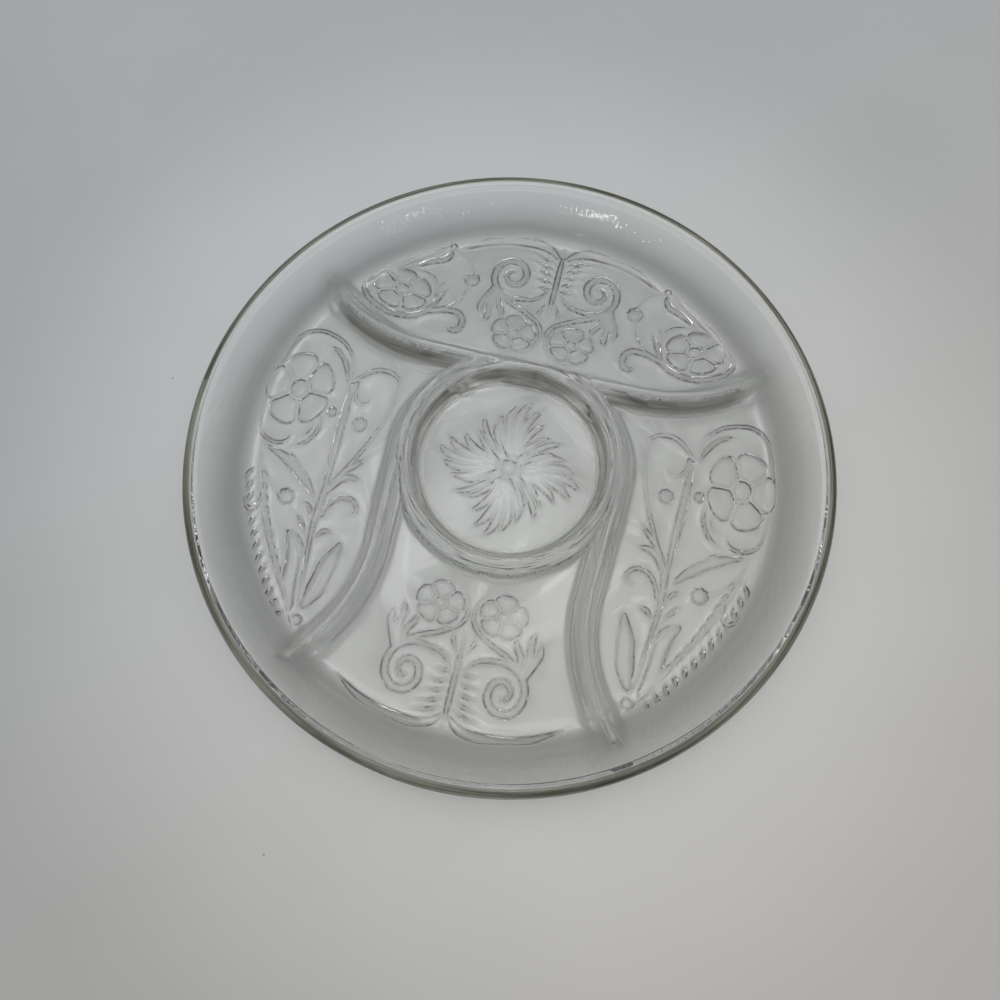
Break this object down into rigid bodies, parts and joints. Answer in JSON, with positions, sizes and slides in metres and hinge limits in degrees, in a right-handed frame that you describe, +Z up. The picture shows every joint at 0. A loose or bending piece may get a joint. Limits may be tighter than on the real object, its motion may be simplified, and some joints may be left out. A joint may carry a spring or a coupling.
{
  "type": "relish tray",
  "caption": "Round divided relish tray of clear pressed glass, with a centre well, swept dividers, a coved wall and a pattern of roses and scrolls under the floor.",
  "frame": {"origin": "middle of the foot, on the table", "axes": "+Z up through the tray's axis; +Y to the top compartment, the one between the two upper horns; +X to the right compartment"},
  "size_m": [0.3359, 0.336, 0.034],
  "materials": {
    "clear_glass": "clear pressed glass with a faint warm grey-green tint, fire-polished",
    "rim_glass": "the same clear glass seen edge on, where it reads dark olive grey",
    "pattern_glass": "clear glass over the pattern sunk into its underside, whose softly rounded edges read dark and bright"
  },
  "bodies": {
    "root": {"top_floor": "pattern_glass", "bottom_floor": "pattern_glass", "left_floor": "pattern_glass", "right_floor": "pattern_glass", "well_floor": "pattern_glass", "foot_ring": "clear_glass", "coved_wall": "clear_glass", "rim_band": "rim_glass", "well_ring": "clear_glass", "top_divider": "clear_glass", "left_divider": "clear_glass", "right_divider": "clear_glass"}
  },
  "joints": []
}
